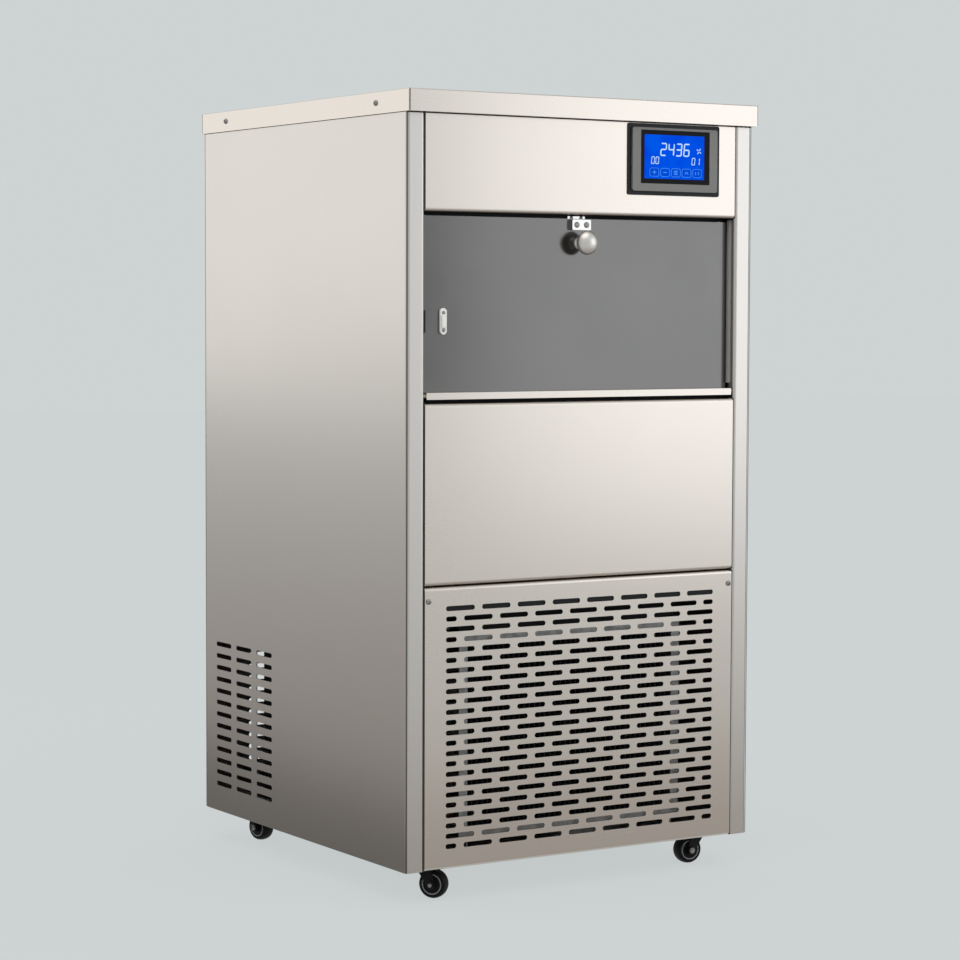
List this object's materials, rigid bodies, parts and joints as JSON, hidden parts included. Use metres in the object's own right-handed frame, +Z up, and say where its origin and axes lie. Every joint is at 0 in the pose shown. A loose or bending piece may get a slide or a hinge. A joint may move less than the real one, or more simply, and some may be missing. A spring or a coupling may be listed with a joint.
{
  "type": "flake ice machine",
  "caption": "Upright stainless flake ice machine on casters: control display, drop-down smoked door over an ice bin, slotted grille, auger evaporator and condensing unit inside.",
  "frame": {"origin": "floor, at the middle of the footprint's bounding box", "axes": "+Z up, front faces -Y, +X to the right seen from the front"},
  "size_m": [0.5088, 0.555, 0.955],
  "materials": {
    "stainless": "satin brushed stainless sheet",
    "galvanised": "galvanised sheet",
    "black_plastic": "moulded, fine grain",
    "grey_plastic": "moulded, satin",
    "lens": "clear lens over a blue display",
    "white_plastic": "moulded, smooth",
    "black_foam": "closed-cell foam",
    "rubber": "black rubber",
    "caster_tread": "black moulded wheel",
    "smoked_glazing": "glossy smoked glazing",
    "polished_steel": "polished",
    "screw_steel": "plain",
    "copper": "drawn tube",
    "brass": "turned",
    "machined_steel": "turned",
    "black_paint": "black enamel",
    "grey_paint": "grey enamel",
    "fin_stock": "dark coated fins",
    "orange_plastic": "moulded float"
  },
  "bodies": {
    "cabinet": {"base_pan": "galvanised", "left_side_panel": "stainless", "right_side_panel": "stainless", "back_panel": "stainless", "top_cover": "stainless", "control_panel": "stainless", "middle_panel": "stainless", "grille_panel": "stainless", "cross_rail": "black_paint", "panel_screws": "screw_steel", "display_gasket": "black_plastic", "display_bezel": "grey_plastic", "display_lens": "lens", "control_box": "galvanised", "bin_liner": "white_plastic", "bin_insulation": "black_foam", "door_seal": "rubber", "catch_keeper": "polished_steel", "door_switch": "black_plastic", "ice_chute": "white_plastic", "evaporator_barrel": "machined_steel", "evaporator_jacket": "black_foam", "ice_head": "machined_steel", "auger_bush_top": "brass", "auger_bush_bottom": "brass", "gear_motor": "grey_paint", "motor_stand": "black_paint", "water_tank": "white_plastic", "float_valve": "white_plastic", "feed_hose": "white_plastic", "water_inlet": "brass", "drain_hose": "white_plastic", "compressor": "black_paint", "compressor_feet": "rubber", "condenser_core": "fin_stock", "condenser_frame": "galvanised", "fan_shroud": "black_plastic", "fan_bracket": "galvanised", "fan_motor": "grey_paint", "refrigerant_lines": "copper", "cable_gland": "black_plastic", "caster_plates": "galvanised"},
    "door": {"door_panel": "smoked_glazing", "door_rail": "stainless", "door_knob": "polished_steel", "catch_plate": "polished_steel", "catch_screws": "polished_steel", "door_magnet": "white_plastic"},
    "auger": {"auger": "machined_steel", "drive_coupling": "machined_steel"},
    "fan": {"fan_blade": "black_plastic"},
    "float": {"float_arm": "orange_plastic"},
    "swivel_fl": {"caster_fork_fl": "black_paint"},
    "wheel_fl": {"caster_wheel_fl": "caster_tread"},
    "swivel_fr": {"caster_fork_fr": "black_paint"},
    "wheel_fr": {"caster_wheel_fr": "caster_tread"},
    "swivel_rl": {"caster_fork_rl": "black_paint"},
    "wheel_rl": {"caster_wheel_rl": "caster_tread"},
    "swivel_rr": {"caster_fork_rr": "black_paint"},
    "wheel_rr": {"caster_wheel_rr": "caster_tread"}
  },
  "joints": [
    {"name": "door_hinge", "type": "hinge", "parent": "cabinet", "child": "door", "pos_m": [0, -0.2565, 0.599], "axis": [1, 0, 0], "range_deg": [0, 90]},
    {"name": "auger_spin", "type": "hinge", "parent": "cabinet", "child": "auger", "pos_m": [-0.115, 0.1615, 0.5], "axis": [0, 0, 1], "continuous": true},
    {"name": "fan_spin", "type": "hinge", "parent": "cabinet", "child": "fan", "pos_m": [0, -0.1735, 0.1915], "axis": [0, 1, 0], "continuous": true},
    {"name": "float_pivot", "type": "hinge", "parent": "cabinet", "child": "float", "pos_m": [0.17, 0.1555, 0.6972], "axis": [1, 0, 0], "range_deg": [-20, 0]},
    {"name": "caster_fl_swivel", "type": "hinge", "parent": "cabinet", "child": "swivel_fl", "pos_m": [-0.205, -0.2235, 0.045], "axis": [0, 0, 1], "continuous": true},
    {"name": "caster_fl_roll", "type": "hinge", "parent": "swivel_fl", "child": "wheel_fl", "pos_m": [-0.19515, -0.23611, 0.0175], "axis": [0.788, 0.6157, 0], "continuous": true},
    {"name": "caster_fr_swivel", "type": "hinge", "parent": "cabinet", "child": "swivel_fr", "pos_m": [0.205, -0.2235, 0.045], "axis": [0, 0, 1], "continuous": true},
    {"name": "caster_fr_roll", "type": "hinge", "parent": "swivel_fr", "child": "wheel_fr", "pos_m": [0.18906, -0.22211, 0.0175], "axis": [-0.0872, -0.9962, 0], "continuous": true},
    {"name": "caster_rl_swivel", "type": "hinge", "parent": "cabinet", "child": "swivel_rl", "pos_m": [-0.205, 0.2095, 0.045], "axis": [0, 0, 1], "continuous": true},
    {"name": "caster_rl_roll", "type": "hinge", "parent": "swivel_rl", "child": "wheel_rl", "pos_m": [-0.2014, 0.19391, 0.0175], "axis": [0.9744, 0.225, 0], "continuous": true},
    {"name": "caster_rr_swivel", "type": "hinge", "parent": "cabinet", "child": "swivel_rr", "pos_m": [0.205, 0.2095, 0.045], "axis": [0, 0, 1], "continuous": true},
    {"name": "caster_rr_roll", "type": "hinge", "parent": "swivel_rr", "child": "wheel_rr", "pos_m": [0.19471, 0.19724, 0.0175], "axis": [0.766, -0.6428, 0], "continuous": true}
  ]
}
